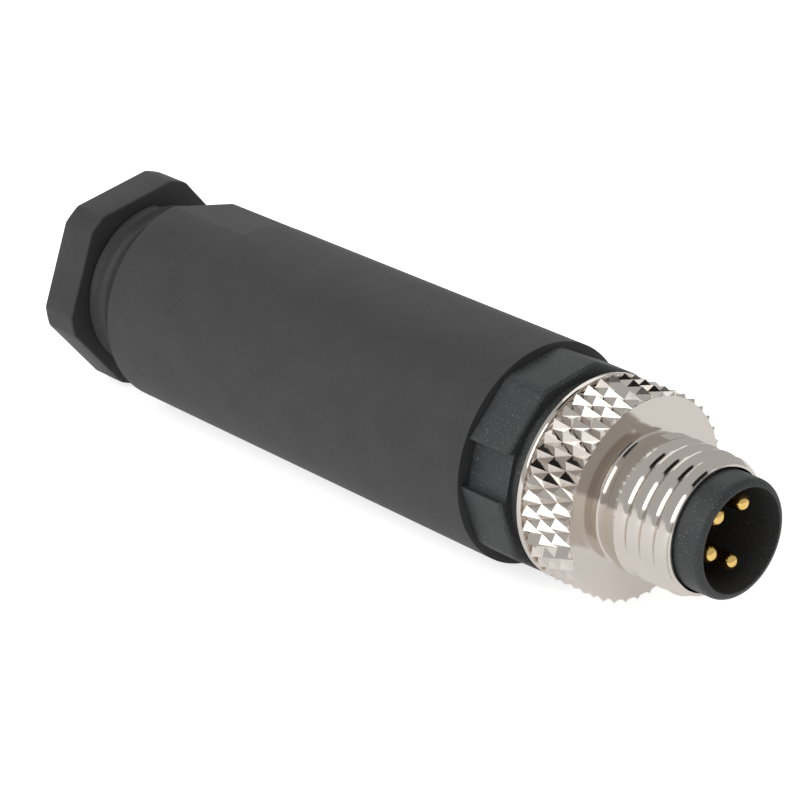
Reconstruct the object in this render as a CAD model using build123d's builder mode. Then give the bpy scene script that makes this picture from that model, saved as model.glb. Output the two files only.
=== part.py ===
"""A straight four-pole sensor plug with an M8 coupling screw, wired in the field.

Millimetres. The axis of the plug is X. The origin is on the axis in the mating face, the plane of the
nose's mouth, and the plug lies on the -X side of it, level, as it rests on a table. Stations along the
axis are therefore negative. Angles about the axis are counted from +Y towards +Z.
"""
from build123d import *
from math import cos, radians, sin
import os

os.makedirs("parts", exist_ok=True)

# Cutters run past the material by this much
CUT = 1.0

# Coupling screw: knurled ring and threaded tube in one turned piece
THREAD_R = 3.98
TUBE_END_X = -1.7
TUBE_END_R = 3.62
THREAD_START_X = -2.3
THREAD_STOP_X = -6.05
RELIEF_R = 3.68
RING_FACE_X = -6.92
RING_BACK_X = -10.74
TUBE_BORE_R = 3.5
FLANGE_FRONT_X = -7.6
FLANGE_BACK_X = -8.6
FLANGE_BORE_R = 3.02
RING_BORE_R = 4.95
LIP_X = -10.4
LIP_R = 5.88

# Diamond knurl: pyramids on a lattice of columns, each column half a step further round
KNURL_COUNT = 40
KNURL_COLUMNS = 4
KNURL_FIRST_X = -7.0
KNURL_SPACING = 1.07
KNURL_TIP_R = 5.96
KNURL_ROOT_R = 5.6
KNURL_EDGE_R = 5.72
KNURL_PHASE = 168.5

# Contact insert: nose, neck and contacts
NOSE_R = 3.37
NOSE_CHAMFER = 0.2
SOCKET_R = 2.93
SOCKET_FLOOR_X = -6.3
NOSE_BACK_X = -7.5
NECK_R = 2.92
INSERT_BACK_X = -16.6
KEY_ANGLE = 167.4
PIN_R = 0.5
PIN_TAIL_R = 0.4
PIN_TIP_X = -0.8
PIN_TIP_CHAMFER = 0.25
PIN_STEP_X = -18.0
PIN_END_X = -23.2
# Each contact: distance from the axis, its angle and its clamp block's angle, from the key's direction
CONTACTS = ((1.45, 45.3, 45.0), (1.856, 117.6, 135.0), (1.856, -117.6, -135.0), (1.45, -45.3, -45.0))

# Grip body: decagon grip, neck towards the ring and screwed spigot for the housing
GRIP_SIDES = 10
GRIP_CORNER_R = 6.15
GRIP_FRONT_X = -11.7
GRIP_BACK_X = -14.63
GRIP_ROUND = 0.28
GRIP_NECK_R = 5.3
GRIP_NECK_X = -10.86
BOSS_R = 4.7
BOSS_X = -8.75
KEY_WIDTH = 3.0
KEY_FLOOR = 5.32
SPIGOT_R = 5.15
SPIGOT_BACK_X = -21.6
SPIGOT_LEAD = 0.3
CHAMBER_R = 4.1
SEAL_GROOVE = (-15.25, -16.15)
SEAL_GROOVE_R = 4.43
SEAL_RING_R = 4.86
SEAL_SECTION_R = 0.43

# Terminal holder, clamp blocks and their screws, each slot given by its width and depth
HOLDER_R = 4.75
HOLDER_BACK_X = -31.2
BLOCK_FRONT_X = -22.2
BLOCK_BACK_X = -29.2
BLOCK_INNER = 1.9
BLOCK_OUTER = 4.3
BLOCK_WIDTH = 2.4
LUG_BACK_X = -23.2
LUG_R = 0.75
LUG_OVERLAP = 0.3
WIRE_HOLE_R = 0.85
WIRE_STOP_X = -24.5
SCREW_X = -26.5
SCREW_R = 0.8
SCREW_OUTER = 4.65
SCREW_INNER = 3.3
SCREW_SLOT = (0.32, 0.4)
ACCESS_R = 1.15
ACCESS_FLOOR = 4.2

# Housing sleeve
SLEEVE_FRONT_X = -14.68
SLEEVE_BACK_X = -45.03
SLEEVE_FRONT_R = 6.34
SLEEVE_BACK_R = 6.29
SLEEVE_RIM_CHAMFER = 0.1
SLEEVE_SEAT_R = 5.35
SLEEVE_SEAT_X = -16.4
SLEEVE_THREAD_R = 5.25
SLEEVE_THREAD_X = -22.4
SLEEVE_CHAMBER_R = 5.1
WEB_FRONT_X = -34.0
WEB_BACK_X = -35.5
WEB_BORE_R = 3.4
GLAND_CHAMBER_R = 4.95
GLAND_THREAD_X = -40.2
GLAND_THREAD_R = 5.3
FLAT_ANGLES = (72.0, 252.0)
FLAT_DISTANCE = 5.6
FLAT_STOP_X = -38.5
FLAT_RUNOUT_X = -37.4
FLAT_TOP = 6.74

# Cable gland: seal, clamp cage and gland nut
SEAL_FRONT_X = -35.6
SEAL_BACK_X = -39.3
SEAL_OUTER_R = 3.85
SEAL_CHAMFER = 0.25
CABLE_SEAL_R = 2.5
CAGE_TIP_X = -39.0
CAGE_BASE_X = -42.35
CAGE_BACK_X = -43.35
CAGE_OUTER_R = 4.75
CAGE_FINGER_R = 4.02
CAGE_BORE_R = 3.1
CAGE_FINGERS = 8
CAGE_SLOT = 0.9
NUT_FRONT_X = -43.4
NUT_THREAD_R = 5.2
NUT_THREAD_X = -46.9
NUT_LEAD = 0.3
NUT_NECK_R = 4.8
HEX_FRONT_X = -48.45
HEX_BACK_X = -51.05
HEX_APOTHEM = 6.0
HEX_CORNER_R = 6.65
HEX_FLAT_ANGLE = 37.4
NUT_BORE_R = 2.75
NUT_FUNNEL = 0.7


def axis_plane(x, angle=0.0):
    """A plane across the axis at station x, its own x axis pointing out at the angle."""
    out = (0, cos(radians(angle)), sin(radians(angle)))
    return Plane(origin=(x, 0, 0), x_dir=out, z_dir=(1, 0, 0))


def side_plane(angle):
    """A plane through the axis: its x axis is the axis of the plug, its y axis points out at the angle."""
    side = (0, -sin(radians(angle)), cos(radians(angle)))
    return Plane(origin=(0, 0, 0), x_dir=(1, 0, 0), z_dir=side)


def facing_plane(angle, distance):
    """A plane whose normal points out at the angle, its x axis along the plug."""
    out = (0, cos(radians(angle)), sin(radians(angle)))
    return Plane(origin=(0, 0, 0), x_dir=(1, 0, 0), z_dir=out).offset(distance)


def knurl_rings():
    """Rings of points along the knurl: the two plain edges and, between them, tips and roots in turn."""
    steps = 2 * KNURL_COUNT
    rings = [(RING_FACE_X, [KNURL_EDGE_R] * steps)]
    for column in range(KNURL_COLUMNS):
        radii = [KNURL_ROOT_R if (column + step) % 2 else KNURL_TIP_R for step in range(steps)]
        rings.append((KNURL_FIRST_X - column * KNURL_SPACING, radii))
    rings.append((LIP_X, [KNURL_ROOT_R] * steps))
    angles = [radians(KNURL_PHASE + 180.0 * step / KNURL_COUNT) for step in range(steps)]
    return [[Vector(x, r * cos(a), r * sin(a)) for r, a in zip(radii, angles)] for x, radii in rings]


def knurled_disc():
    """The knurled band as one closed solid, two flat triangles to each cell of the lattice."""
    rings = knurl_rings()
    steps = len(rings[0])
    faces = [Face(Wire.make_polygon(rings[0])), Face(Wire.make_polygon(rings[-1]))]
    for row in range(len(rings) - 1):
        near, far = rings[row], rings[row + 1]
        for step in range(steps):
            after = (step + 1) % steps
            a, b, c, d = near[step], near[after], far[after], far[step]
            root_first = (row + step) % 2 == 0
            halves = ((a, b, c), (a, c, d)) if root_first else ((a, b, d), (b, c, d))
            faces += [Face(Wire.make_polygon(half)) for half in halves]
    return Solid(Shell(faces))


with BuildPart() as coupling_ring:
    add(knurled_disc())
    with BuildSketch(Plane.XZ):
        with BuildLine():
            Polyline(
                (TUBE_END_X, 0), (TUBE_END_X, TUBE_END_R), (THREAD_START_X, THREAD_R), (THREAD_STOP_X, THREAD_R),
                (THREAD_STOP_X - (THREAD_R - RELIEF_R), RELIEF_R), (RING_FACE_X, RELIEF_R), (LIP_X, RELIEF_R),
                (LIP_X, LIP_R), (RING_BACK_X, LIP_R), (RING_BACK_X, 0), close=True,
            )
        make_face()
    revolve(axis=Axis.X)
    with BuildSketch(Plane.XZ):
        with BuildLine():
            Polyline(
                (TUBE_END_X + CUT, 0), (TUBE_END_X + CUT, TUBE_BORE_R), (FLANGE_FRONT_X, TUBE_BORE_R),
                (FLANGE_FRONT_X, FLANGE_BORE_R), (FLANGE_BACK_X, FLANGE_BORE_R), (FLANGE_BACK_X, RING_BORE_R),
                (RING_BACK_X - CUT, RING_BORE_R), (RING_BACK_X - CUT, 0), close=True,
            )
        make_face()
    revolve(axis=Axis.X, mode=Mode.SUBTRACT)
coupling_ring.part.label = "coupling_ring"
export_step(coupling_ring.part, "parts/coupling_ring.step")

with BuildPart() as contact_insert:
    with BuildSketch(Plane.XZ):
        with BuildLine():
            Polyline(
                (0, 0), (0, NOSE_R), (NOSE_BACK_X, NOSE_R), (NOSE_BACK_X, NECK_R),
                (INSERT_BACK_X, NECK_R), (INSERT_BACK_X, 0), close=True,
            )
        make_face()
    revolve(axis=Axis.X)
    chamfer(contact_insert.edges().filter_by(GeomType.CIRCLE).group_by(Axis.X)[-1], length=NOSE_CHAMFER)
    with BuildSketch(axis_plane(0)):
        Circle(SOCKET_R)
    extrude(amount=SOCKET_FLOOR_X, mode=Mode.SUBTRACT)
    for distance, angle, _ in CONTACTS:
        with BuildSketch(axis_plane(SOCKET_FLOOR_X, KEY_ANGLE + angle)):
            with Locations((distance, 0)):
                Circle(PIN_R)
        extrude(amount=INSERT_BACK_X - SOCKET_FLOOR_X, mode=Mode.SUBTRACT)
contact_insert.part.label = "contact_insert"
export_step(contact_insert.part, "parts/contact_insert.step")

with BuildPart() as grip_body:
    with BuildSketch(axis_plane(GRIP_BACK_X, KEY_ANGLE + 180 / GRIP_SIDES)):
        RegularPolygon(GRIP_CORNER_R, GRIP_SIDES)
    extrude(amount=GRIP_FRONT_X - GRIP_BACK_X)
    fillet(grip_body.edges().group_by(Axis.X)[-1], radius=GRIP_ROUND)
    with BuildSketch(Plane.XZ):
        with BuildLine():
            Polyline(
                (BOSS_X, 0), (BOSS_X, BOSS_R), (GRIP_NECK_X, BOSS_R), (GRIP_NECK_X, GRIP_NECK_R),
                (GRIP_FRONT_X - CUT, GRIP_NECK_R), (GRIP_FRONT_X - CUT, SPIGOT_R),
                (SEAL_GROOVE[0], SPIGOT_R), (SEAL_GROOVE[0], SEAL_GROOVE_R),
                (SEAL_GROOVE[1], SEAL_GROOVE_R), (SEAL_GROOVE[1], SPIGOT_R),
                (SPIGOT_BACK_X, SPIGOT_R), (SPIGOT_BACK_X, 0), close=True,
            )
        make_face()
    revolve(axis=Axis.X)
    with BuildSketch(side_plane(KEY_ANGLE)):
        with Locations(((GRIP_NECK_X + GRIP_BACK_X) / 2, KEY_FLOOR + CUT)):
            Rectangle(GRIP_NECK_X - GRIP_BACK_X, 2 * CUT)
    extrude(amount=KEY_WIDTH / 2, both=True, mode=Mode.SUBTRACT)
    with BuildSketch(axis_plane(BOSS_X)):
        Circle(NECK_R)
    extrude(amount=SPIGOT_BACK_X - BOSS_X, mode=Mode.SUBTRACT)
    with BuildSketch(axis_plane(INSERT_BACK_X)):
        Circle(CHAMBER_R)
    extrude(amount=SPIGOT_BACK_X - INSERT_BACK_X, mode=Mode.SUBTRACT)
    back_rims = grip_body.edges().filter_by(GeomType.CIRCLE).group_by(Axis.X)[0]
    chamfer(back_rims.sort_by(SortBy.RADIUS)[-1], length=SPIGOT_LEAD)
grip_body.part.label = "grip_body"
export_step(grip_body.part, "parts/grip_body.step")

with BuildPart() as sleeve_seal:
    with BuildSketch(Plane.XZ):
        with Locations((sum(SEAL_GROOVE) / 2, SEAL_RING_R)):
            RegularPolygon(SEAL_SECTION_R, 8, major_radius=False, rotation=22.5)
    revolve(axis=Axis.X)
sleeve_seal.part.label = "sleeve_seal"
export_step(sleeve_seal.part, "parts/sleeve_seal.step")


def block_outline(contact, back_x):
    """The clamp block's outline across the axis, drawn at back_x, without the lug."""
    with BuildSketch(axis_plane(back_x, KEY_ANGLE + contact[2])) as outline:
        with Locations(((BLOCK_INNER + BLOCK_OUTER) / 2, 0)):
            Rectangle(BLOCK_OUTER - BLOCK_INNER, BLOCK_WIDTH)
    return outline.sketch


def lug_outline(contact):
    """The lug that reaches from the block to the contact's tail."""
    distance, angle, block_angle = contact
    turn = radians(angle - block_angle)
    tail = (distance * cos(turn), distance * sin(turn))
    with BuildSketch(axis_plane(LUG_BACK_X, KEY_ANGLE + block_angle)) as outline:
        with Locations(tail):
            Circle(LUG_R)
        with Locations(((BLOCK_INNER + tail[0]) / 2 + LUG_OVERLAP, tail[1])):
            Rectangle(BLOCK_INNER - tail[0] + 2 * LUG_OVERLAP, 2 * LUG_R)
    return outline.sketch


with BuildPart() as terminal_holder:
    with BuildSketch(Plane.XZ):
        with BuildLine():
            Polyline(
                (INSERT_BACK_X, 0), (INSERT_BACK_X, CHAMBER_R), (SPIGOT_BACK_X, CHAMBER_R),
                (SPIGOT_BACK_X, HOLDER_R), (HOLDER_BACK_X, HOLDER_R), (HOLDER_BACK_X, 0), close=True,
            )
        make_face()
    revolve(axis=Axis.X)
    for contact in CONTACTS:
        extrude(block_outline(contact, HOLDER_BACK_X), amount=BLOCK_FRONT_X - HOLDER_BACK_X, mode=Mode.SUBTRACT)
        extrude(lug_outline(contact), amount=BLOCK_FRONT_X - LUG_BACK_X, mode=Mode.SUBTRACT)
        with BuildSketch(axis_plane(INSERT_BACK_X, KEY_ANGLE + contact[1])):
            with Locations((contact[0], 0)):
                Circle(PIN_R)
        extrude(amount=BLOCK_FRONT_X - INSERT_BACK_X, mode=Mode.SUBTRACT)
        with BuildSketch(facing_plane(KEY_ANGLE + contact[2], ACCESS_FLOOR)):
            with Locations((SCREW_X, 0)):
                Circle(ACCESS_R)
        extrude(amount=CUT, mode=Mode.SUBTRACT)
terminal_holder.part.label = "terminal_holder"
export_step(terminal_holder.part, "parts/terminal_holder.step")

for number, contact in enumerate(CONTACTS, start=1):
    distance, angle, block_angle = contact
    with BuildPart() as contact_pin:
        with BuildSketch(axis_plane(PIN_TIP_X, KEY_ANGLE + angle)):
            with Locations((distance, 0)):
                Circle(PIN_R)
        extrude(amount=PIN_STEP_X - PIN_TIP_X)
        chamfer(contact_pin.edges().group_by(Axis.X)[-1], length=PIN_TIP_CHAMFER)
        with BuildSketch(axis_plane(PIN_STEP_X, KEY_ANGLE + angle)):
            with Locations((distance, 0)):
                Circle(PIN_TAIL_R)
        extrude(amount=PIN_END_X - PIN_STEP_X)
    contact_pin.part.label = f"contact_pin_{number}"
    export_step(contact_pin.part, f"parts/contact_pin_{number}.step")

    with BuildPart() as clamp_block:
        extrude(block_outline(contact, BLOCK_BACK_X), amount=BLOCK_FRONT_X - BLOCK_BACK_X)
        extrude(lug_outline(contact), amount=BLOCK_FRONT_X - LUG_BACK_X)
        with BuildSketch(axis_plane(BLOCK_FRONT_X, KEY_ANGLE + angle)):
            with Locations((distance, 0)):
                Circle(PIN_TAIL_R)
        extrude(amount=LUG_BACK_X - BLOCK_FRONT_X, mode=Mode.SUBTRACT)
        with BuildSketch(axis_plane(BLOCK_BACK_X, KEY_ANGLE + block_angle)):
            with Locations(((BLOCK_INNER + BLOCK_OUTER) / 2, 0)):
                Circle(WIRE_HOLE_R)
        extrude(amount=WIRE_STOP_X - BLOCK_BACK_X, mode=Mode.SUBTRACT)
        with BuildSketch(facing_plane(KEY_ANGLE + block_angle, SCREW_INNER)):
            with Locations((SCREW_X, 0)):
                Circle(SCREW_R)
        extrude(amount=BLOCK_OUTER, mode=Mode.SUBTRACT)
    clamp_block.part.label = f"clamp_block_{number}"
    export_step(clamp_block.part, f"parts/clamp_block_{number}.step")

    with BuildPart() as terminal_screw:
        with BuildSketch(facing_plane(KEY_ANGLE + block_angle, SCREW_INNER)):
            with Locations((SCREW_X, 0)):
                Circle(SCREW_R)
        extrude(amount=SCREW_OUTER - SCREW_INNER)
        with BuildSketch(facing_plane(KEY_ANGLE + block_angle, SCREW_OUTER - SCREW_SLOT[1])):
            with Locations((SCREW_X, 0)):
                Rectangle(3 * SCREW_R, SCREW_SLOT[0])
        extrude(amount=CUT, mode=Mode.SUBTRACT)
    terminal_screw.part.label = f"terminal_screw_{number}"
    export_step(terminal_screw.part, f"parts/terminal_screw_{number}.step")

with BuildPart() as housing_sleeve:
    with BuildSketch(Plane.XZ):
        with BuildLine():
            Polyline(
                (SLEEVE_FRONT_X, SLEEVE_SEAT_R), (SLEEVE_FRONT_X, SLEEVE_FRONT_R),
                (SLEEVE_BACK_X, SLEEVE_BACK_R), (SLEEVE_BACK_X, GLAND_THREAD_R),
                (GLAND_THREAD_X, GLAND_THREAD_R), (GLAND_THREAD_X, GLAND_CHAMBER_R),
                (WEB_BACK_X, GLAND_CHAMBER_R), (WEB_BACK_X, WEB_BORE_R), (WEB_FRONT_X, WEB_BORE_R),
                (WEB_FRONT_X, SLEEVE_CHAMBER_R), (SLEEVE_THREAD_X, SLEEVE_CHAMBER_R),
                (SLEEVE_THREAD_X, SLEEVE_THREAD_R), (SLEEVE_SEAT_X, SLEEVE_THREAD_R),
                (SLEEVE_SEAT_X, SLEEVE_SEAT_R), close=True,
            )
        make_face()
    revolve(axis=Axis.X)
    rims = housing_sleeve.edges().filter_by(GeomType.CIRCLE)
    chamfer(rims.group_by(Axis.X)[-1].sort_by(SortBy.RADIUS)[-1], length=SLEEVE_RIM_CHAMFER)
    for angle in FLAT_ANGLES:
        with BuildSketch(side_plane(angle)):
            with BuildLine():
                Polyline(
                    (SLEEVE_BACK_X - CUT, FLAT_DISTANCE), (FLAT_STOP_X, FLAT_DISTANCE),
                    (FLAT_RUNOUT_X, FLAT_TOP), (SLEEVE_BACK_X - CUT, FLAT_TOP), close=True,
                )
            make_face()
        extrude(amount=SLEEVE_FRONT_R, both=True, mode=Mode.SUBTRACT)
housing_sleeve.part.label = "housing_sleeve"
export_step(housing_sleeve.part, "parts/housing_sleeve.step")

with BuildPart() as cable_seal:
    with BuildSketch(Plane.XZ):
        with BuildLine():
            Polyline(
                (SEAL_FRONT_X, CABLE_SEAL_R), (SEAL_FRONT_X, SEAL_OUTER_R), (SEAL_BACK_X, SEAL_OUTER_R),
                (SEAL_BACK_X, CABLE_SEAL_R), close=True,
            )
        make_face()
    revolve(axis=Axis.X)
    chamfer(cable_seal.edges().filter_by(GeomType.CIRCLE), length=SEAL_CHAMFER)
cable_seal.part.label = "cable_seal"
export_step(cable_seal.part, "parts/cable_seal.step")

with BuildPart() as clamp_cage:
    with BuildSketch(Plane.XZ):
        with BuildLine():
            Polyline(
                (CAGE_BACK_X, CAGE_BORE_R), (CAGE_BACK_X, CAGE_OUTER_R), (CAGE_TIP_X, CAGE_OUTER_R),
                (CAGE_TIP_X, CAGE_FINGER_R), (CAGE_BASE_X, CAGE_FINGER_R), (CAGE_BASE_X, CAGE_BORE_R), close=True,
            )
        make_face()
    revolve(axis=Axis.X)
    for finger in range(CAGE_FINGERS):
        with BuildSketch(side_plane(360.0 * finger / CAGE_FINGERS)):
            with Locations(((CAGE_TIP_X + CAGE_BASE_X) / 2, CAGE_OUTER_R)):
                Rectangle(CAGE_TIP_X - CAGE_BASE_X, 2 * (CAGE_OUTER_R - CAGE_FINGER_R) + CUT)
        extrude(amount=CAGE_SLOT / 2, both=True, mode=Mode.SUBTRACT)
clamp_cage.part.label = "clamp_cage"
export_step(clamp_cage.part, "parts/clamp_cage.step")

with BuildPart() as gland_nut:
    with BuildSketch(axis_plane(HEX_BACK_X, HEX_FLAT_ANGLE)):
        RegularPolygon(HEX_APOTHEM, 6, major_radius=False, rotation=30)
        Circle(HEX_CORNER_R, mode=Mode.INTERSECT)
    extrude(amount=HEX_FRONT_X - HEX_BACK_X)
    with BuildSketch(Plane.XZ):
        with BuildLine():
            Polyline(
                (HEX_BACK_X, 0), (HEX_BACK_X, NUT_NECK_R), (NUT_THREAD_X, NUT_NECK_R), (NUT_THREAD_X, NUT_THREAD_R),
                (NUT_FRONT_X - NUT_LEAD, NUT_THREAD_R), (NUT_FRONT_X, NUT_NECK_R), (NUT_FRONT_X, 0), close=True,
            )
        make_face()
    revolve(axis=Axis.X)
    with BuildSketch(Plane.XZ):
        with BuildLine():
            Polyline(
                (HEX_BACK_X - CUT, 0), (HEX_BACK_X - CUT, NUT_BORE_R + NUT_FUNNEL + CUT),
                (HEX_BACK_X + NUT_FUNNEL, NUT_BORE_R), (NUT_FRONT_X + CUT, NUT_BORE_R),
                (NUT_FRONT_X + CUT, 0), close=True,
            )
        make_face()
    revolve(axis=Axis.X, mode=Mode.SUBTRACT)
gland_nut.part.label = "gland_nut"
export_step(gland_nut.part, "parts/gland_nut.step")
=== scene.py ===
"""A straight four-pole M8 sensor plug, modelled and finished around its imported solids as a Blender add-on.

Each operator below makes one piece, or one group of like pieces, in the place of the solids that it
stands for. Lengths are in metres, and stations along the plug's axis, which is X, are negative from the
mating face backwards. Angles about the axis are in degrees and run from +Y to +Z.
"""

from math import atan2, cos, degrees, hypot, pi, radians, sin

import bpy
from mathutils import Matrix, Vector


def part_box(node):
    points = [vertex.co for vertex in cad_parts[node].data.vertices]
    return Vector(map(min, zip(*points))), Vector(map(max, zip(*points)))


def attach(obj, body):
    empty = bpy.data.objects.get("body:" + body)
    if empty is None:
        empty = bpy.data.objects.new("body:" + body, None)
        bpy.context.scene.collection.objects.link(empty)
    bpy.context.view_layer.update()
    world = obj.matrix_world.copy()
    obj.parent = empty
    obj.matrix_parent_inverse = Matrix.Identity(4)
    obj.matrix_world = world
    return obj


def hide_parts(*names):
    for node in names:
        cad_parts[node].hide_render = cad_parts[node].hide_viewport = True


bl_info = {
    "name": "Sensor plug",
    "version": (1, 0, 0),
    "blender": (4, 5, 0),
    "location": "View3D > Sidebar > Plug",
    "description": "Models and finishes a field-wired M8 sensor plug around its packed solids",
    "category": "Add Mesh",
}

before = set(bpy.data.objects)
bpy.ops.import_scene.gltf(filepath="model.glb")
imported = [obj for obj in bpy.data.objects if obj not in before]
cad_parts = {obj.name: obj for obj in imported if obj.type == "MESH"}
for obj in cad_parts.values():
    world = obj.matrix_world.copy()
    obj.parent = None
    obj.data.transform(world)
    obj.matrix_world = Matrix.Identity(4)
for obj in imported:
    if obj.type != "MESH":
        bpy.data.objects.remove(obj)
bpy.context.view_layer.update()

MM = 0.001
FRONT = 1
BACK = 0


def station(node, side):
    """The rear (BACK) or front (FRONT) end of a CAD node along the axis."""
    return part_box(node)[side].x


# Places closer than NEAR count as one, and vertices closer than MERGE become one
NEAR = 0.01 * MM
MERGE = 0.002 * MM

# Vertices round a turned shape
SLEEVE_STEPS = 192
INSERT_STEPS = 160
GRIP_STEPS = 128
BORE_STEPS = 96
PIN_STEPS = 48

# A thread's groove: how far its cutter stands out of the crests, its width there as a share of the pitch,
# its floor as a share of that width, and the round of its corners
GROOVE_PROUD = 0.03 * MM
GROOVE_WIDTH = 0.96
GROOVE_FLOOR = 0.34
GROOVE_ROUND = 0.22 * MM

# Coupling ring: radii and stations of its tube, thread, knurl, lip and inner flange
TUBE_BORE = 3.5 * MM
TUBE_LIP = 3.62 * MM
THREAD_START = -2.3 * MM
THREAD_STOP = -6.05 * MM
THREAD_LEAD = -0.7 * MM
THREAD_TURNS = 5
RELIEF = 3.68 * MM
RELIEF_FILLET = 0.2 * MM
RING_FACE = -6.92 * MM
KNURL_FIRST = -7.0 * MM
KNURL_SPACING = 1.07 * MM
KNURL_COLUMNS = 4
KNURL_EDGE = 5.72 * MM
KNURL_SKIN = 5.5 * MM
KNURL_PHASE = 168.5
LIP_STEP = -10.4 * MM
LIP = 5.88 * MM
RING_BORE = 4.95 * MM
FLANGE_BACK = -8.6 * MM
FLANGE_FRONT = -7.6 * MM
FLANGE_BORE = 3.02 * MM
LIP_ROUND = 0.07 * MM
LIP_STEP_ROUND = 0.04 * MM
TUBE_ROUND = 0.03 * MM

# Contact insert and pins, whose places are a distance from the axis in mm and an angle from the key
SOCKET_FLOOR = -6.3 * MM
NOSE_BACK = -7.5 * MM
NECK = 2.92 * MM
SOCKET_ROUND = 0.03 * MM
PIN_STEP = -18.0 * MM
PIN_TAIL = 0.4 * MM
PIN_DOME = 0.42 * MM
PIN_PLACES = ((1.45, 45.3), (1.856, 117.6), (1.856, -117.6), (1.45, -45.3))

# Grip body: its ten-sided block, key facet, neck, spigot with the seal's groove, and chamber
GRIP_FRONT = -11.7 * MM
GRIP_BACK = -14.63 * MM
GRIP_NECK = 5.3 * MM
GRIP_NECK_FRONT = -10.86 * MM
GRIP_BOSS = 4.7 * MM
KEY_ANGLE = 167.4
GRIP_SIDES = 10
GRIP_LONG_ROUND = 0.4 * MM
GRIP_FRONT_ROUND = 0.28 * MM
GRIP_EDGE_ROUND = 0.03 * MM
KEY_SPAN = 25.2
KEY_FLOOR = 5.55 * MM
KEY_CUTTER = 2 * MM
SPIGOT = 5.15 * MM
SEAL_GROOVE = (-15.25 * MM, -16.15 * MM)
SEAL_GROOVE_FLOOR = 4.43 * MM
CHAMBER = 4.1 * MM
CHAMBER_FRONT = -16.6 * MM

# Housing sleeve: its bores from front to back, and the two spanner flats
SLEEVE_SEAT = 5.35 * MM
SLEEVE_SEAT_BACK = -16.4 * MM
SLEEVE_THREAD = 5.25 * MM
SLEEVE_THREAD_BACK = -22.4 * MM
SLEEVE_CHAMBER = 5.1 * MM
WEB_FRONT = -34.0 * MM
WEB_BACK = -35.5 * MM
WEB_BORE = 3.4 * MM
GLAND_CHAMBER = 4.95 * MM
GLAND_THREAD_FRONT = -40.2 * MM
GLAND_THREAD = 5.3 * MM
FLAT_ANGLES = (77.7, 257.7)
FLAT_DISTANCE = 5.88 * MM
FLAT_STOP = -38.55 * MM
FLAT_RUNOUT = -38.45 * MM
FLAT_CUTTER = 1.5 * MM

# Gland nut: its thread, whose groove starts ahead of the nut, its neck, hexagon and bore
NUT_THREAD_BACK = -48.2 * MM
NUT_THREAD_LEAD = 1.35 * MM
NUT_THREAD_TURNS = 6
NUT_LEAD_IN = 0.3 * MM
NUT_NECK = 4.8 * MM
NUT_OVERLAP = 0.5 * MM
HEX_FRONT = -48.45 * MM
HEX_ANGLE = 40.4
HEX_ROUND = 0.12 * MM
NUT_FUNNEL = 0.7 * MM

# Real sizes of the patterns in the finishes. The grain of a spark-eroded mould is 0.02 to 0.05 mm, and is
# drawn about three times as coarse, because it would be too fine to show in the render.
GRIP_GRAIN = 0.1 * MM
SLEEVE_GRAIN = 0.12 * MM
FLOW_CLOUDS = 2.2 * MM
PLATE_SMEARS = 0.6 * MM
RUBBER_BLOOM = 0.8 * MM
GRAIN_DEPTH = 0.02 * MM
PLATE_DEPTH = 0.01 * MM

# Studio: each lamp's name, place, width and power in watts, and the point at which they are aimed
LAMPS = (
    ("main_box", (-0.03, -0.157, 0.122), 0.16, 0.18),
    ("top_box", (-0.16, 0.10, 0.16), 0.16, 0.06))
LAMP_TARGET = Vector((-0.02, 0, 0))
CARD_PLACE = (-0.04, 0.01, 0.185)
CARD_SIZE = (0.17, 0.11)
# Strengths at which the floor and the surround light things, meet the camera and show in mirrors
FLOOR_STRENGTHS = (0.12, 0.7, 0.36)
WORLD_STRENGTHS = (0.45, 1.0, 0.55)
CAMERA_PLACE = (0.10436, -0.12016, 0.07830)
CAMERA_AIM = Vector((-0.67231, 0.61886, -0.40621))
CAMERA_LENS = 153.1


def srgb(code):
    """The linear colour of an sRGB hex value such as 7F7F7F."""
    parts = [int(code[i:i + 2], 16) / 255 for i in (0, 2, 4)]
    return tuple(c / 12.92 if c <= 0.04045 else ((c + 0.055) / 1.055) ** 2.4 for c in parts)


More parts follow.
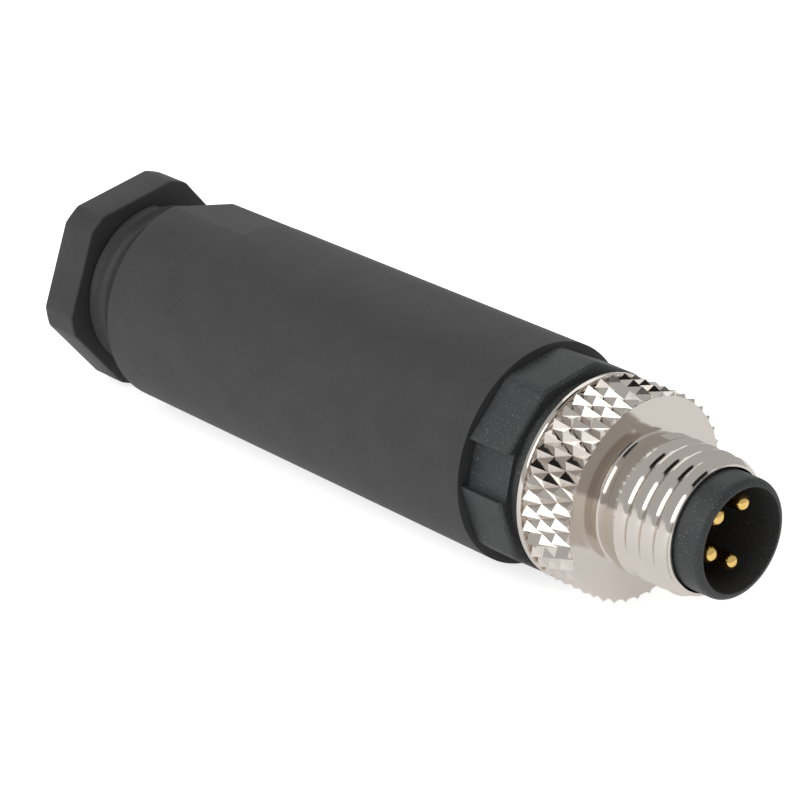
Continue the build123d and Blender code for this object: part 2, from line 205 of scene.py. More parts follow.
class PlugSizes(bpy.types.PropertyGroup):
    """Sizes of the plug that the eye reads."""

    thread_radius: bpy.props.FloatProperty(
        name="Thread crest", description="Radius of the coupling thread over its crests",
        default=3.98 * MM, unit="LENGTH", precision=5)
    thread_pitch: bpy.props.FloatProperty(
        name="Thread pitch", description="Distance between two crests of either thread",
        default=1.0 * MM, unit="LENGTH", precision=5)
    thread_depth: bpy.props.FloatProperty(
        name="Thread depth", description="Depth of either thread's groove",
        default=0.36 * MM, unit="LENGTH", precision=5)
    knurl_tip: bpy.props.FloatProperty(
        name="Knurl tips", description="Radius of the knurled ring over its pyramids",
        default=5.96 * MM, unit="LENGTH", precision=5)
    knurl_root: bpy.props.FloatProperty(
        name="Knurl roots", description="Radius of the knurled ring in its valleys",
        default=5.6 * MM, unit="LENGTH", precision=5)
    knurl_count: bpy.props.IntProperty(
        name="Knurl count", description="Pyramids in one column round the ring", default=40, min=8)
    nose_radius: bpy.props.FloatProperty(
        name="Nose", description="Outer radius of the contact insert's nose",
        default=3.37 * MM, unit="LENGTH", precision=5)
    nose_round: bpy.props.FloatProperty(
        name="Nose rounding", description="Radius of the round on the nose's front edge",
        default=0.4 * MM, unit="LENGTH", precision=5)
    socket_radius: bpy.props.FloatProperty(
        name="Socket", description="Inner radius of the nose",
        default=2.93 * MM, unit="LENGTH", precision=5)
    pin_radius: bpy.props.FloatProperty(
        name="Pin", description="Radius of a contact pin",
        default=0.5 * MM, unit="LENGTH", precision=5)
    grip_corner: bpy.props.FloatProperty(
        name="Grip corners", description="Radius of the ten-sided grip over its corners",
        default=6.2 * MM, unit="LENGTH", precision=5)
    sleeve_front: bpy.props.FloatProperty(
        name="Sleeve front", description="Outer radius of the housing sleeve at its front rim",
        default=6.4 * MM, unit="LENGTH", precision=5)
    sleeve_back: bpy.props.FloatProperty(
        name="Sleeve back", description="Outer radius of the housing sleeve at its rear",
        default=6.34 * MM, unit="LENGTH", precision=5)
    hex_apothem: bpy.props.FloatProperty(
        name="Nut flats", description="Half the width across the gland nut's flats",
        default=5.9 * MM, unit="LENGTH", precision=5)
    hex_corner: bpy.props.FloatProperty(
        name="Nut corners", description="Radius to which the gland nut's corners are turned",
        default=6.47 * MM, unit="LENGTH", precision=5)
    nut_thread: bpy.props.FloatProperty(
        name="Nut thread", description="Radius of the gland nut's thread over its crests",
        default=5.2 * MM, unit="LENGTH", precision=5)
    cable_bore: bpy.props.FloatProperty(
        name="Cable bore", description="Radius of the gland nut's bore",
        default=2.75 * MM, unit="LENGTH", precision=5)
    edge_round: bpy.props.FloatProperty(
        name="Edge rounding", description="Radius of the round on moulded edges",
        default=0.08 * MM, unit="LENGTH", precision=5)


class PlugColours(bpy.types.PropertyGroup):
    """Colours of the plug's finishes."""

    sleeve: bpy.props.FloatVectorProperty(
        name="Matt polyamide", description="Sleeve and gland nut", subtype="COLOR",
        default=srgb("3E3E3F"), min=0, max=1)
    grip: bpy.props.FloatVectorProperty(
        name="Grained polyamide", description="Nose and grip", subtype="COLOR",
        default=srgb("3C3D3E"), min=0, max=1)
    nickel: bpy.props.FloatVectorProperty(
        name="Nickel plate", description="Coupling ring", subtype="COLOR",
        default=srgb("D6CFC8"), min=0, max=1)
    gold: bpy.props.FloatVectorProperty(
        name="Gold plate", description="Contact pins", subtype="COLOR",
        default=srgb("F3CE7C"), min=0, max=1)
    rubber: bpy.props.FloatVectorProperty(
        name="Nitrile rubber", description="Both seals", subtype="COLOR",
        default=srgb("252526"), min=0, max=1)
    floor: bpy.props.FloatVectorProperty(
        name="Floor", description="Pale floor", subtype="COLOR",
        default=srgb("F4F4F4"), min=0, max=1)


def deselect():
    """Nothing is selected, so that an operator acts on the new primitive alone."""
    bpy.ops.object.select_all(action="DESELECT")


def place_mesh(piece, name):
    """Names a new primitive and moves its place into its mesh."""
    bpy.ops.object.transform_apply(location=True, rotation=True, scale=True)
    piece.name = name
    piece.data.name = name
    return piece


def select_where(piece, test):
    """Enters edit mode with the vertices chosen that pass the test."""
    bpy.ops.object.mode_set(mode="EDIT")
    bpy.ops.mesh.select_mode(type="VERT")
    bpy.ops.mesh.select_all(action="DESELECT")
    bpy.ops.object.mode_set(mode="OBJECT")
    for vertex in piece.data.vertices:
        vertex.select = test(vertex.co)
    bpy.ops.object.mode_set(mode="EDIT")


def leave_edit():
    """Back to object mode."""
    bpy.ops.object.mode_set(mode="OBJECT")


def turn_piece(piece, angle):
    """Turns the piece's mesh about the plug's axis by an angle in degrees."""
    bpy.ops.object.mode_set(mode="EDIT")
    bpy.ops.mesh.select_all(action="SELECT")
    bpy.ops.transform.rotate(value=-radians(angle), orient_axis="X", center_override=(0, 0, 0))
    leave_edit()


def close_mesh(piece):
    """Merges doubles, fills the open ends and turns every face outwards, so that the piece is a solid."""
    bpy.ops.object.mode_set(mode="EDIT")
    bpy.ops.mesh.select_all(action="SELECT")
    bpy.ops.mesh.remove_doubles(threshold=MERGE)
    bpy.ops.mesh.fill_holes(sides=0)
    bpy.ops.mesh.select_all(action="SELECT")
    bpy.ops.mesh.normals_make_consistent(inside=False)
    leave_edit()
    return piece


def turned(name, outline, steps):
    """A turned solid: a circle at the outline's first point, extruded and scaled from point to point."""
    deselect()
    x, r = outline[0]
    bpy.ops.mesh.primitive_circle_add(
        vertices=steps, radius=r, location=(x, 0, 0), rotation=(0, pi / 2, 0))
    piece = place_mesh(bpy.context.object, name)
    bpy.ops.object.mode_set(mode="EDIT")
    bpy.ops.mesh.select_all(action="SELECT")
    for (x, r), (next_x, next_r) in zip(outline, outline[1:]):
        bpy.ops.mesh.extrude_region_move(TRANSFORM_OT_translate={"value": (next_x - x, 0, 0)})
        scale = next_r / r
        bpy.ops.transform.resize(value=(1, scale, scale), center_override=(next_x, 0, 0))
    leave_edit()
    return close_mesh(piece)


def bevel_ring(piece, x, r, width, segments=3):
    """Rounds the circular edge at station x and radius r."""
    select_where(piece, lambda co: abs(co.x - x) < NEAR and abs(hypot(co.y, co.z) - r) < NEAR)
    bpy.ops.mesh.bevel(offset=width, segments=segments, affect="EDGES")
    leave_edit()


def use_modifier(piece, kind, **settings):
    """Adds a modifier with its settings and applies it."""
    bpy.context.view_layer.objects.active = piece
    modifier = piece.modifiers.new(kind.title(), kind)
    for key, value in settings.items():
        setattr(modifier, key, value)
    bpy.ops.object.modifier_apply(modifier=modifier.name)


def combine(piece, other, operation):
    """Joins another shape to the piece, cuts it out of the piece or keeps what they share."""
    use_modifier(piece, "BOOLEAN", operation=operation, solver="MANIFOLD", object=other)
    bpy.data.objects.remove(other)
    return piece


def groove_cutter(name, crest, depth, pitch, start, turns, steps):
    """The solid of a helical groove: a rounded trapezium swept round the axis by a Screw modifier."""
    deselect()
    height = depth + GROOVE_PROUD
    top = crest + GROOVE_PROUD
    bpy.ops.mesh.primitive_plane_add(size=1, location=(start, 0, top - height / 2), rotation=(pi / 2, 0, 0))
    cutter = bpy.context.object
    cutter.scale = (pitch * GROOVE_WIDTH, height, 1)
    place_mesh(cutter, name)
    select_where(cutter, lambda co: co.z < top - height / 2)
    bpy.ops.transform.resize(value=(GROOVE_FLOOR, 1, 1), center_override=(start, 0, top - height))
    bpy.ops.mesh.bevel(offset=GROOVE_ROUND, segments=4, affect="VERTICES")
    bpy.ops.mesh.select_all(action="SELECT")
    bpy.ops.mesh.delete(type="ONLY_FACE")
    leave_edit()
    use_modifier(
        cutter, "SCREW", axis="X", angle=2 * pi, screw_offset=-pitch, iterations=turns, steps=steps,
        render_steps=steps, use_normal_calculate=True)
    return close_mesh(cutter)


def finish_piece(piece, body, slot, material, *nodes, angle=15):
    """Shades the piece, gives it its finish, ties it to its body and hides the nodes that it stands for."""
    deselect()
    piece.select_set(True)
    bpy.context.view_layer.objects.active = piece
    bpy.ops.object.shade_smooth_by_angle(angle=radians(angle))
    piece.data.materials.clear()
    piece.data.materials.append(material)
    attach(piece, body)
    if nodes:
        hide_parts(*nodes)


def add_node(tree, kind, settings=None, links=None):
    """Adds a shader node, sets its attributes or sockets, given by name or number, and links its inputs."""
    node = tree.nodes.new(kind)
    for key, value in (settings or {}).items():
        if isinstance(key, int) or key in node.inputs:
            node.inputs[key].default_value = value
        else:
            setattr(node, key, value)
    for key, source in (links or {}).items():
        tree.links.new(source, node.inputs[key])
    return node


def new_material(name):
    """A node material with its tree, its shader and its Object coordinates."""
    material = bpy.data.materials.new(name)
    material.use_nodes = True
    tree = material.node_tree
    shader = tree.nodes["Principled BSDF"]
    place = tree.nodes.new("ShaderNodeTexCoord").outputs["Object"]
    return material, tree, shader, place


def polyamide(name, colour, grain, speck, roughness, bump):
    """Glass-filled polyamide from a spark-eroded mould: a dull skin with a fine grain and paler specks."""
    material, tree, shader, place = new_material(name)
    cloud = add_node(tree, "ShaderNodeTexNoise", {"Scale": 1 / FLOW_CLOUDS, "Detail": 4.0}, {"Vector": place})
    grit = add_node(tree, "ShaderNodeTexNoise", {"Scale": 1 / grain, "Detail": 3.0}, {"Vector": place})
    tone = add_node(tree, "ShaderNodeMapRange", {"From Min": 0.35, "From Max": 0.65},
                    {"Value": cloud.outputs["Fac"]})
    skin = add_node(tree, "ShaderNodeMix", {
        "data_type": "RGBA", 6: (*(c * 0.92 for c in colour), 1), 7: (*(c * 1.08 for c in colour), 1)},
        {0: tone.outputs[0]})
    peaks = add_node(tree, "ShaderNodeMapRange", {"From Min": 0.6, "From Max": 0.7},
                     {"Value": grit.outputs["Fac"]})
    ramp = add_node(tree, "ShaderNodeMix", {
        "data_type": "RGBA", 7: (*(min(1, c * (1 + speck)) for c in colour), 1)},
        {0: peaks.outputs[0], 6: skin.outputs[2]})
    tree.links.new(ramp.outputs[2], shader.inputs["Base Color"])
    rough = add_node(tree, "ShaderNodeMapRange", {"To Min": roughness - 0.07, "To Max": roughness + 0.07},
                     {"Value": grit.outputs["Fac"]})
    tree.links.new(rough.outputs[0], shader.inputs["Roughness"])
    height = add_node(tree, "ShaderNodeBump", {"Strength": bump, "Distance": GRAIN_DEPTH},
                      {"Height": grit.outputs["Fac"]})
    tree.links.new(height.outputs[0], shader.inputs["Normal"])
    shader.inputs["IOR"].default_value = 1.53
    shader.inputs["Specular IOR Level"].default_value = 0.35
    return material


def plated(name, colour, roughness, wave):
    """Bright plate over turned metal: a mirror that faint smears and a slight waviness soften."""
    material, tree, shader, place = new_material(name)
    smear = add_node(tree, "ShaderNodeTexNoise", {"Scale": 1 / PLATE_SMEARS, "Detail": 5.0},
                     {"Vector": place})
    dull = add_node(tree, "ShaderNodeMapRange", {"To Min": roughness * 0.7, "To Max": roughness * 1.5},
                    {"Value": smear.outputs["Fac"]})
    ripple = add_node(tree, "ShaderNodeBump", {"Strength": wave, "Distance": PLATE_DEPTH},
                      {"Height": smear.outputs["Fac"]})
    shader.inputs["Base Color"].default_value = (*colour, 1)
    shader.inputs["Metallic"].default_value = 1
    tree.links.new(dull.outputs[0], shader.inputs["Roughness"])
    tree.links.new(ripple.outputs[0], shader.inputs["Normal"])
    return material


def rubber(name, colour):
    """Moulded nitrile rubber: dull black with a soft bloom."""
    material, tree, shader, place = new_material(name)
    bloom = add_node(tree, "ShaderNodeTexNoise", {"Scale": 1 / RUBBER_BLOOM, "Detail": 4.0},
                     {"Vector": place})
    dull = add_node(tree, "ShaderNodeMapRange", {"To Min": 0.6, "To Max": 0.85},
                    {"Value": bloom.outputs["Fac"]})
    shader.inputs["Base Color"].default_value = (*colour, 1)
    tree.links.new(dull.outputs[0], shader.inputs["Roughness"])
    return material


def seen_strength(tree, lit, seen, mirrored):
    """A strength for light that falls on things, another for the camera and one for mirrors and glass."""
    paths = tree.nodes.new("ShaderNodeLightPath")
    mirror = add_node(tree, "ShaderNodeMath", {"operation": "MAXIMUM"},
                      {0: paths.outputs["Is Glossy Ray"], 1: paths.outputs["Is Transmission Ray"]})
    camera = add_node(tree, "ShaderNodeMath", {"operation": "MULTIPLY_ADD", 1: seen - lit, 2: lit},
                      {0: paths.outputs["Is Camera Ray"]})
    return add_node(tree, "ShaderNodeMath", {"operation": "MULTIPLY_ADD", 1: mirrored - lit},
                    {0: mirror.outputs[0], 2: camera.outputs[0]}).outputs[0]


def knurled(piece, sizes):
    """Lifts every other vertex of each knurl column into the tip of a pyramid."""
    half_step = 180.0 / sizes.knurl_count
    lift = sizes.knurl_tip / sizes.knurl_root

    def is_tip(co):
        """Whether a vertex stands on the lattice of tips."""
        column = (KNURL_FIRST - co.x) / KNURL_SPACING
        if abs(column - round(column)) * KNURL_SPACING > NEAR or not -0.5 < column < KNURL_COLUMNS - 0.5:
            return False
        if abs(hypot(co.y, co.z) - sizes.knurl_root) > NEAR:
            return False
        step = (degrees(atan2(co.z, co.y)) - KNURL_PHASE) / half_step
        return (round(step) + round(column)) % 2 == 0

    select_where(piece, is_tip)
    bpy.ops.transform.resize(value=(1, lift, lift), center_override=(0, 0, 0))
    leave_edit()
    select_where(
        piece, lambda co: LIP_STEP - NEAR < co.x < RING_FACE + NEAR and hypot(co.y, co.z) > KNURL_SKIN)
    bpy.ops.mesh.quads_convert_to_tris(quad_method="SHORTEST_DIAGONAL", ngon_method="BEAUTY")
    leave_edit()


class PLUG_OT_coupling_ring(bpy.types.Operator):
    """Turns the coupling ring, knurls it and cuts its thread"""

    bl_idname = "plug.coupling_ring"
    bl_label = "Coupling ring"

    def execute(self, context):
        sizes = context.scene.plug_sizes
        tube_end = station("coupling_ring", FRONT)
        ring_back = station("coupling_ring", BACK)
        steps = 2 * sizes.knurl_count
        root = sizes.knurl_root
        fillet = [(RING_FACE + RELIEF_FILLET * (1 - sin(a)), RELIEF + RELIEF_FILLET * (1 - cos(a)))
                  for a in (0, pi / 6, pi / 3, pi / 2)]
        columns = [(KNURL_FIRST - i * KNURL_SPACING, root) for i in range(KNURL_COLUMNS)]
        outline = [
            (tube_end, TUBE_BORE), (tube_end, TUBE_LIP), (THREAD_START, sizes.thread_radius),
            (THREAD_STOP, sizes.thread_radius), (THREAD_STOP - sizes.thread_radius + RELIEF, RELIEF),
            *fillet, (RING_FACE, KNURL_EDGE), *columns, (LIP_STEP, root), (LIP_STEP, LIP), (ring_back, LIP),
            (ring_back, RING_BORE), (FLANGE_BACK, RING_BORE), (FLANGE_BACK, FLANGE_BORE),
            (FLANGE_FRONT, FLANGE_BORE), (FLANGE_FRONT, TUBE_BORE), (tube_end, TUBE_BORE)]
        ring = turned("ring_with_thread", outline, steps)
        turn_piece(ring, KNURL_PHASE)
        knurled(ring, sizes)
        bevel_ring(ring, ring_back, LIP, LIP_ROUND)
        bevel_ring(ring, LIP_STEP, LIP, LIP_STEP_ROUND, 2)
        bevel_ring(ring, tube_end, TUBE_LIP, TUBE_ROUND, 2)
        cutter = groove_cutter(
            "thread_groove", sizes.thread_radius, sizes.thread_depth, sizes.thread_pitch, THREAD_LEAD,
            THREAD_TURNS, steps)
        combine(ring, cutter, "DIFFERENCE")
        nickel = tuple(context.scene.plug_colours.nickel)
        finish = plated("nickel_plated_brass", nickel, roughness=0.1, wave=0.08)
        finish_piece(ring, "ring", "nickel_plate", finish, "coupling_ring", angle=25)
        return {"FINISHED"}


class PLUG_OT_contact_insert(bpy.types.Operator):
    """Turns the contact insert: nose, socket and neck"""

    bl_idname = "plug.contact_insert"
    bl_label = "Contact insert"

    def execute(self, context):
        sizes = context.scene.plug_sizes
        mouth = station("contact_insert", FRONT)
        back = station("contact_insert", BACK)
        outline = [
            (SOCKET_FLOOR, sizes.socket_radius), (mouth, sizes.socket_radius), (mouth, sizes.nose_radius),
            (NOSE_BACK, sizes.nose_radius), (NOSE_BACK, NECK), (back, NECK)]
        insert = turned("nose_and_socket", outline, INSERT_STEPS)
        bevel_ring(insert, mouth, sizes.nose_radius, sizes.nose_round, 6)
        bevel_ring(insert, mouth, sizes.socket_radius, SOCKET_ROUND, 2)
        colour = tuple(context.scene.plug_colours.grip)
        finish = polyamide("grained_polyamide", colour, GRIP_GRAIN, speck=2.2, roughness=0.5, bump=0.6)
        finish_piece(insert, "core", "moulded_polyamide_grained", finish, "contact_insert")
        return {"FINISHED"}


class PLUG_OT_contact_pins(bpy.types.Operator):
    """Turns the four contact pins, each with its domed tip and thinner tail"""

    bl_idname = "plug.contact_pins"
    bl_label = "Contact pins"

    def execute(self, context):
        sizes = context.scene.plug_sizes
        tip = station("contact_pin_1", FRONT)
        end = station("contact_pin_1", BACK)
        gold = tuple(context.scene.plug_colours.gold)
        finish = plated("gold_plated_brass", gold, roughness=0.12, wave=0.03)
        radius = sizes.pin_radius
        outline = [(tip, radius), (PIN_STEP, radius), (PIN_STEP, PIN_TAIL), (end, PIN_TAIL)]
        for number, (distance, angle) in enumerate(PIN_PLACES, start=1):
            pin = turned(f"gold_pin_{number}", outline, PIN_STEPS)
            bevel_ring(pin, tip, radius, PIN_DOME, 8)
            turn = radians(KEY_ANGLE + angle)
            pin.location = (0, distance * MM * cos(turn), distance * MM * sin(turn))
            place_mesh(pin, pin.name)
            finish_piece(pin, "core", "gold_plate", finish, f"contact_pin_{number}")
        return {"FINISHED"}


class PLUG_OT_grip_body(bpy.types.Operator):
    """Models the ten-sided grip with its recessed key facet, neck and spigot"""

    bl_idname = "plug.grip_body"
    bl_label = "Grip body"

    def execute(self, context):
        sizes = context.scene.plug_sizes
        front = station("grip_body", FRONT)
        back = station("grip_body", BACK)
        grip = self.sided_block(sizes.grip_corner)
        outline = [
            (front, GRIP_BOSS), (GRIP_NECK_FRONT, GRIP_BOSS), (GRIP_NECK_FRONT, GRIP_NECK),
            (GRIP_FRONT - MM, GRIP_NECK), (GRIP_FRONT - MM, SPIGOT), (SEAL_GROOVE[0], SPIGOT),
            (SEAL_GROOVE[0], SEAL_GROOVE_FLOOR), (SEAL_GROOVE[1], SEAL_GROOVE_FLOOR),
            (SEAL_GROOVE[1], SPIGOT), (back, SPIGOT)]
        core = turned("grip_core", outline, GRIP_STEPS)
        combine(grip, core, "UNION")
        deselect()
        length = GRIP_NECK_FRONT - GRIP_BACK
        turn = radians(KEY_ANGLE)
        middle = KEY_FLOOR + KEY_CUTTER / 2
        bpy.ops.mesh.primitive_cube_add(
            size=1, location=(GRIP_BACK + length / 2, middle * cos(turn), middle * sin(turn)),
            rotation=(turn, 0, 0),
            scale=(length, KEY_CUTTER, 2 * sizes.grip_corner * sin(radians(KEY_SPAN / 2))))
        combine(grip, place_mesh(bpy.context.object, "key_cutter"), "DIFFERENCE")
        bore = turned("grip_bore", [
            (front + MM, NECK), (CHAMBER_FRONT, NECK), (CHAMBER_FRONT, CHAMBER), (back - MM, CHAMBER)],
            GRIP_STEPS)
        combine(grip, bore, "DIFFERENCE")
        use_modifier(
            grip, "BEVEL", width=GRIP_EDGE_ROUND, segments=2, limit_method="ANGLE", angle_limit=radians(35))
        finish = bpy.data.materials["grained_polyamide"]
        finish_piece(grip, "core", "moulded_polyamide_grained", finish, "grip_body")
        return {"FINISHED"}

    def sided_block(self, corner):
        """The block of ten sides, its narrower side towards the key and its other long edges rounded."""
        deselect()
        bpy.ops.mesh.primitive_circle_add(
            vertices=GRIP_SIDES, radius=corner, location=(GRIP_BACK, 0, 0), rotation=(0, pi / 2, 0))
        block = place_mesh(bpy.context.object, "ten_sided_grip")
        first = block.data.vertices[0].co
        start = KEY_ANGLE + KEY_SPAN / 2
        turn_piece(block, start - degrees(atan2(first.z, first.y)))
        side = (360 - KEY_SPAN) / (GRIP_SIDES - 1)
        for number in range(1, GRIP_SIDES):
            passed = side * (number - 1) + 1
            select_where(block, lambda co: (degrees(atan2(co.z, co.y)) - start + 1) % 360 - 1 > passed)
            bpy.ops.transform.rotate(
                value=-radians(side - 360 / GRIP_SIDES), orient_axis="X", center_override=(0, 0, 0))
            leave_edit()
        key = radians(KEY_ANGLE)
        near_key = corner * cos(radians(KEY_SPAN / 2)) - NEAR
        select_where(block, lambda co: co.y * cos(key) + co.z * sin(key) < near_key)
        bpy.ops.mesh.bevel(offset=GRIP_LONG_ROUND, segments=4, affect="VERTICES")
        bpy.ops.mesh.select_all(action="SELECT")
        bpy.ops.mesh.edge_face_add()
        bpy.ops.mesh.extrude_region_move(TRANSFORM_OT_translate={"value": (GRIP_FRONT - GRIP_BACK, 0, 0)})
        leave_edit()
        close_mesh(block)
        select_where(block, lambda co: co.x > GRIP_FRONT - NEAR)
        bpy.ops.mesh.bevel(offset=GRIP_FRONT_ROUND, segments=4, affect="EDGES")
        leave_edit()
        return block


class PLUG_OT_housing_sleeve(bpy.types.Operator):
    """Models the housing sleeve with its bores, seats and spanner flats"""

    bl_idname = "plug.housing_sleeve"
    bl_label = "Housing sleeve"

    def execute(self, context):
        sizes = context.scene.plug_sizes
        front = station("housing_sleeve", FRONT)
        back = station("housing_sleeve", BACK)
        outline = [
            (front, SLEEVE_SEAT), (front, sizes.sleeve_front), (back, sizes.sleeve_back),
            (back, GLAND_THREAD), (GLAND_THREAD_FRONT, GLAND_THREAD), (GLAND_THREAD_FRONT, GLAND_CHAMBER),
            (WEB_BACK, GLAND_CHAMBER), (WEB_BACK, WEB_BORE), (WEB_FRONT, WEB_BORE),
            (WEB_FRONT, SLEEVE_CHAMBER), (SLEEVE_THREAD_BACK, SLEEVE_CHAMBER),
            (SLEEVE_THREAD_BACK, SLEEVE_THREAD), (SLEEVE_SEAT_BACK, SLEEVE_THREAD),
            (SLEEVE_SEAT_BACK, SLEEVE_SEAT), (front, SLEEVE_SEAT)]
        sleeve = turned("sleeve", outline, SLEEVE_STEPS)
        for angle in FLAT_ANGLES:
            deselect()
            length = FLAT_RUNOUT - back + MM
            turn = radians(angle)
            middle = FLAT_DISTANCE + FLAT_CUTTER / 2
            bpy.ops.mesh.primitive_cube_add(
                size=1, location=(FLAT_RUNOUT - length / 2, middle * cos(turn), middle * sin(turn)),
                rotation=(turn, 0, 0), scale=(length, FLAT_CUTTER, 4 * FLAT_DISTANCE))
            cutter = place_mesh(bpy.context.object, "flat_cutter")
            out = Vector((0, cos(turn), sin(turn)))
            select_where(cutter, lambda co: co.x > FLAT_RUNOUT - NEAR and co.dot(out) < middle)
            bpy.ops.transform.translate(value=(FLAT_STOP - FLAT_RUNOUT, 0, 0))
            leave_edit()
            combine(sleeve, cutter, "DIFFERENCE")
        use_modifier(
            sleeve, "BEVEL", width=sizes.edge_round, segments=2, limit_method="ANGLE",
            angle_limit=radians(20))
        colour = tuple(context.scene.plug_colours.sleeve)
        finish = polyamide("matt_polyamide", colour, SLEEVE_GRAIN, speck=0.4, roughness=0.58, bump=0.3)
        finish_piece(sleeve, "sleeve", "moulded_polyamide", finish, "housing_sleeve")
        return {"FINISHED"}


class PLUG_OT_gland_nut(bpy.types.Operator):
    """Models the hexagonal gland nut with its neck, thread and cable bore"""

    bl_idname = "plug.gland_nut"
    bl_label = "Gland nut"

    def execute(self, context):
        sizes = context.scene.plug_sizes
        front = station("gland_nut", FRONT)
        back = station("gland_nut", BACK)
        deselect()
        bpy.ops.mesh.primitive_cylinder_add(
            vertices=6, radius=sizes.hex_apothem / cos(pi / 6), depth=HEX_FRONT - back,
            location=((HEX_FRONT + back) / 2, 0, 0), rotation=(0, pi / 2, 0))
        nut = place_mesh(bpy.context.object, "hexagonal_nut")
        first = nut.data.vertices[0].co
        turn_piece(nut, HEX_ANGLE + 30 - degrees(atan2(first.z, first.y)))
        rim = [(back - MM, sizes.hex_corner), (HEX_FRONT + MM, sizes.hex_corner)]
        disc = turned("corner_turning", rim, SLEEVE_STEPS)
        combine(nut, disc, "INTERSECT")
        use_modifier(
            nut, "BEVEL", width=HEX_ROUND, segments=3, limit_method="ANGLE", angle_limit=radians(20))
        outline = [
            (back + NUT_OVERLAP, NUT_NECK), (NUT_THREAD_BACK, NUT_NECK), (NUT_THREAD_BACK, sizes.nut_thread),
            (front - NUT_LEAD_IN, sizes.nut_thread), (front, NUT_NECK)]
        stem = turned("nut_stem", outline, INSERT_STEPS)
        cutter = groove_cutter(
            "nut_groove", sizes.nut_thread, sizes.thread_depth, sizes.thread_pitch, front + NUT_THREAD_LEAD,
            NUT_THREAD_TURNS, BORE_STEPS)
        combine(stem, cutter, "DIFFERENCE")
        combine(nut, stem, "UNION")
        bore = turned("cable_bore", [
            (back - MM, sizes.cable_bore + NUT_FUNNEL + MM), (back + NUT_FUNNEL, sizes.cable_bore),
            (front + MM, sizes.cable_bore)], BORE_STEPS)
        combine(nut, bore, "DIFFERENCE")
        finish = bpy.data.materials["matt_polyamide"]
        finish_piece(nut, "nut", "moulded_polyamide", finish, "gland_nut")
        return {"FINISHED"}


class PLUG_OT_inner_parts(bpy.types.Operator):
    """Finishes the parts inside the sleeve, which keep their solids: matt mouldings, duller plate, rubber"""

    bl_idname = "plug.inner_parts"
    bl_label = "Inner parts"

    def execute(self, context):
        colours = context.scene.plug_colours
        matt = bpy.data.materials["matt_polyamide"]
        seal = rubber("nitrile_rubber", tuple(colours.rubber))
        clamp = plated("nickel_plated_clamp", tuple(colours.nickel), roughness=0.25, wave=0.2)
        zinc = plated("zinc_plated_steel", srgb("B9BABD"), roughness=0.3, wave=0.2)
        finishes = {"terminal_holder": matt, "clamp_cage": matt, "sleeve_seal": seal, "cable_seal": seal}
        for number in range(1, len(PIN_PLACES) + 1):
            finishes[f"clamp_block_{number}"] = clamp
            finishes[f"terminal_screw_{number}"] = zinc
        for node, finish in finishes.items():
            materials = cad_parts[node].data.materials
            materials.clear()
            materials.append(finish)
        return {"FINISHED"}


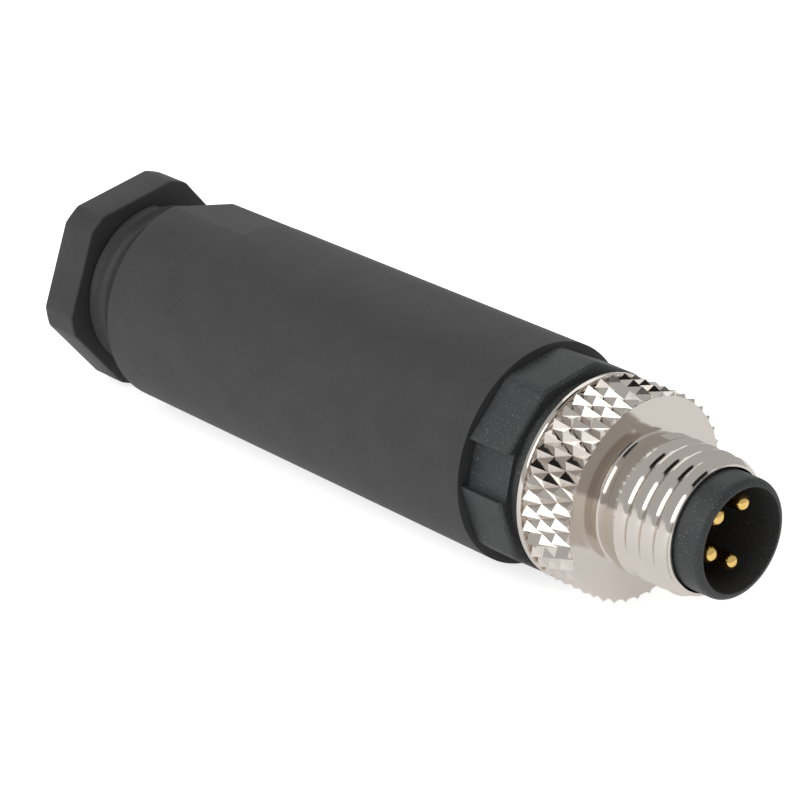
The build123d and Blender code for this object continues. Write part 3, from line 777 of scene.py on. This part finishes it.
class PLUG_OT_stage(bpy.types.Operator):
    """Lays the pale floor, hangs the lamps and sets the camera"""

    bl_idname = "plug.stage"
    bl_label = "Stage"

    def execute(self, context):
        scene = context.scene
        scene.view_settings.view_transform = "Standard"
        self.lay_floor(tuple(scene.plug_colours.floor))
        self.light_world()
        self.hang_lamps()
        self.set_camera(scene)
        return {"FINISHED"}

    def lay_floor(self, colour):
        """A pale floor that the camera sees as white, with the plug's shadow kept."""
        deselect()
        bottom = -bpy.context.scene.plug_sizes.sleeve_front
        bpy.ops.mesh.primitive_grid_add(x_subdivisions=8, y_subdivisions=8, size=2, location=(0, 0, bottom))
        floor = place_mesh(bpy.context.object, "floor")
        material, tree, shader, _ = new_material("pale_floor")
        shader.inputs["Base Color"].default_value = (*colour, 1)
        shader.inputs["Roughness"].default_value = 0.8
        tree.links.new(seen_strength(tree, *FLOOR_STRENGTHS), shader.inputs["Emission Strength"])
        shader.inputs["Emission Color"].default_value = (1, 1, 1, 1)
        floor.data.materials.append(material)

    def light_world(self):
        """An even pale surround, white to the camera and dimmer in reflections."""
        world = bpy.data.worlds.new("surround")
        bpy.context.scene.world = world
        world.use_nodes = True
        tree = world.node_tree
        back = tree.nodes["Background"]
        back.inputs["Color"].default_value = (1, 1, 1, 1)
        tree.links.new(seen_strength(tree, *WORLD_STRENGTHS), back.inputs["Strength"])

    def hang_lamps(self):
        """The main soft box beside the plug, a faint one behind the nut and a black card overhead."""
        self.hang_card()
        for name, place, size, power in LAMPS:
            data = bpy.data.lights.new(name, "AREA")
            data.shape = "SQUARE"
            data.size = size
            data.energy = power
            lamp = bpy.data.objects.new(name, data)
            lamp.location = place
            lamp.rotation_euler = (LAMP_TARGET - Vector(place)).to_track_quat("-Z", "Y").to_euler()
            bpy.context.scene.collection.objects.link(lamp)

    def hang_card(self):
        """A black card that only the reflections show, for the dark bands in the plate."""
        deselect()
        bpy.ops.mesh.primitive_plane_add(size=1, location=CARD_PLACE)
        card = bpy.context.object
        card.scale = (*CARD_SIZE, 1)
        place_mesh(card, "black_flag")
        material, _, shader, _ = new_material("black_velvet")
        shader.inputs["Base Color"].default_value = (*srgb("0A0A0A"), 1)
        shader.inputs["Roughness"].default_value = 0.95
        card.data.materials.append(material)
        card.visible_camera = False

    def set_camera(self, scene):
        """The photograph's view: from above the mating end, without a tilt to the side, by a long lens."""
        data = bpy.data.cameras.new("camera")
        data.lens = CAMERA_LENS
        data.sensor_width = 36.0
        data.clip_start = 0.01
        data.clip_end = 10.0
        camera = bpy.data.objects.new("camera", data)
        camera.location = CAMERA_PLACE
        camera.rotation_euler = CAMERA_AIM.to_track_quat("-Z", "Y").to_euler()
        scene.collection.objects.link(camera)
        scene.camera = camera


class PLUG_PT_panel(bpy.types.Panel):
    """The plug's pieces, in the order in which they are made"""

    bl_label = "Sensor plug"
    bl_idname = "PLUG_PT_panel"
    bl_space_type = "VIEW_3D"
    bl_region_type = "UI"
    bl_category = "Plug"

    def draw(self, context):
        for group in (context.scene.plug_sizes, context.scene.plug_colours):
            for name in group.bl_rna.properties.keys():
                if name not in ("rna_type", "name"):
                    self.layout.prop(group, name)
        for operator in OPERATORS:
            self.layout.operator(operator.bl_idname)


OPERATORS = (
    PLUG_OT_stage, PLUG_OT_coupling_ring, PLUG_OT_contact_insert, PLUG_OT_contact_pins, PLUG_OT_grip_body,
    PLUG_OT_housing_sleeve, PLUG_OT_gland_nut, PLUG_OT_inner_parts)
CLASSES = (PlugSizes, PlugColours, *OPERATORS, PLUG_PT_panel)


def register():
    """Registers the add-on's classes and its two property groups."""
    for item in CLASSES:
        bpy.utils.register_class(item)
    bpy.types.Scene.plug_sizes = bpy.props.PointerProperty(type=PlugSizes)
    bpy.types.Scene.plug_colours = bpy.props.PointerProperty(type=PlugColours)


def unregister():
    """Removes what register added."""
    del bpy.types.Scene.plug_colours
    del bpy.types.Scene.plug_sizes
    for item in reversed(CLASSES):
        bpy.utils.unregister_class(item)


def main():
    """Registers the add-on and makes the stage and every piece."""
    register()
    bpy.ops.plug.stage()
    bpy.ops.plug.coupling_ring()
    bpy.ops.plug.contact_insert()
    bpy.ops.plug.contact_pins()
    bpy.ops.plug.grip_body()
    bpy.ops.plug.housing_sleeve()
    bpy.ops.plug.gland_nut()
    bpy.ops.plug.inner_parts()


if __name__ == "__main__":
    main()
